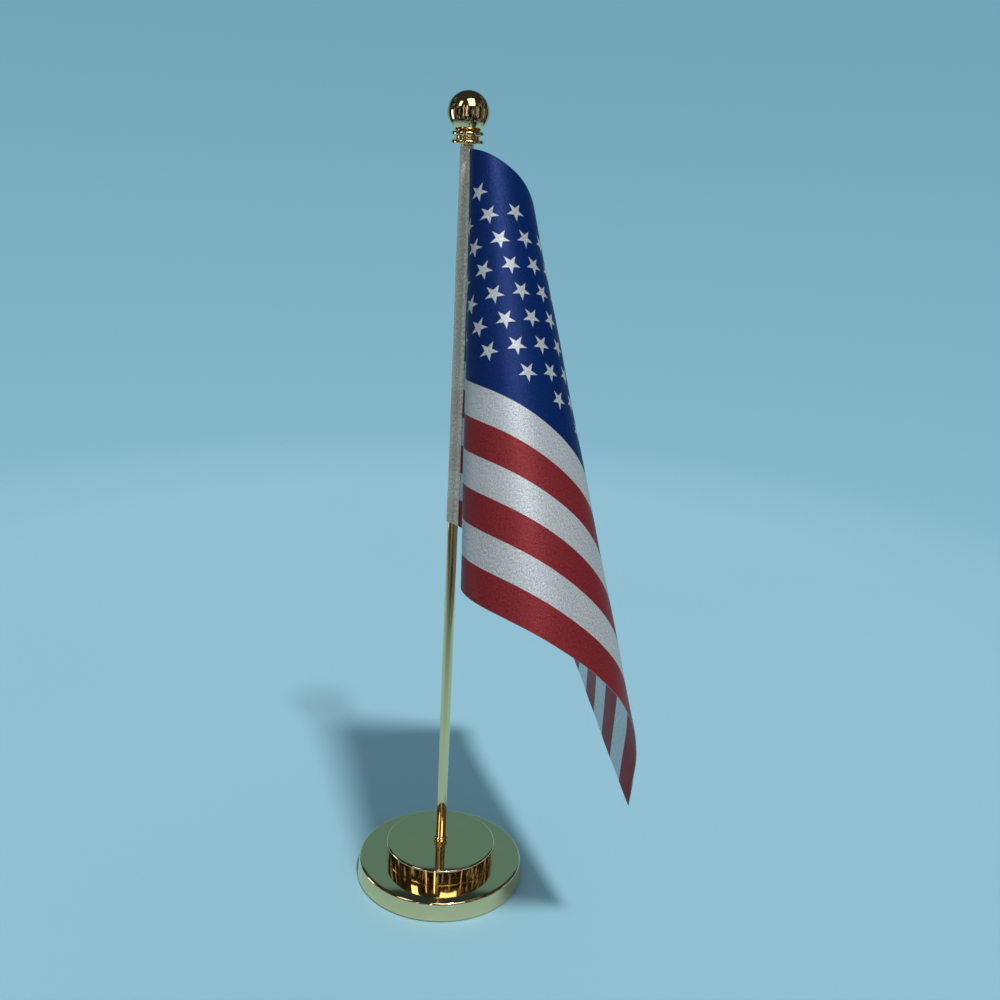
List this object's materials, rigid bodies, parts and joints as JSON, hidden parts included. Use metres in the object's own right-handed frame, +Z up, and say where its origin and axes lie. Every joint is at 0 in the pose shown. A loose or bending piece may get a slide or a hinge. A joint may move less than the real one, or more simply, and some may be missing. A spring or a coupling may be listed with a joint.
{
  "type": "desk flag stand",
  "caption": "Small desk flag on a polished pole with a ball finial and a weighted, stepped round base.",
  "frame": {"origin": "centre of the foot pad's underside, on the surface the stand is put on", "axes": "+Z up along the pole; +X towards the side on which the flag leaves the pole; -Y towards the flag's front fold"},
  "size_m": [0.1039, 0.1598, 0.318],
  "materials": {
    "gold_plate": "polished gold plate",
    "foot_pad": "matt foam pad",
    "cast_iron": "as cast",
    "zinc": "zinc plated",
    "satin": "printed polyester satin, stars and stripes",
    "sleeve_satin": "white polyester satin",
    "thread": "sewing thread"
  },
  "bodies": {
    "base": {"base_foot_pad": "foot_pad", "base_lower_disc": "gold_plate", "base_weight": "cast_iron", "base_upper_disc": "gold_plate", "base_screw": "zinc", "base_spring_washer": "zinc", "base_washer": "zinc", "base_coupling_nut": "zinc"},
    "pole": {"pole_rod": "gold_plate", "pole_foot_collar": "gold_plate"},
    "finial": {"finial_ferrule": "gold_plate", "finial_ball": "gold_plate", "finial_bush": "zinc"},
    "sleeve": {"flag_sleeve": "sleeve_satin"},
    "flag": {"flag_cloth": "satin", "seam_needle_thread": "thread", "seam_bobbin_thread": "thread"}
  },
  "joints": [
    {"name": "pole_lift", "type": "slide", "parent": "base", "child": "pole", "axis": [0, 0, 1], "range_m": [0, 0.006]},
    {"name": "finial_lift", "type": "slide", "parent": "pole", "child": "finial", "axis": [0, 0, 1], "range_m": [0, 0.008]},
    {"name": "sleeve_slide", "type": "slide", "parent": "pole", "child": "sleeve", "axis": [0, 0, 1], "range_m": [-0.06, 0]},
    {"name": "flag_swivel", "type": "hinge", "parent": "sleeve", "child": "flag", "pos_m": [0, 0, 0.228], "axis": [0, 0, 1], "continuous": true}
  ]
}
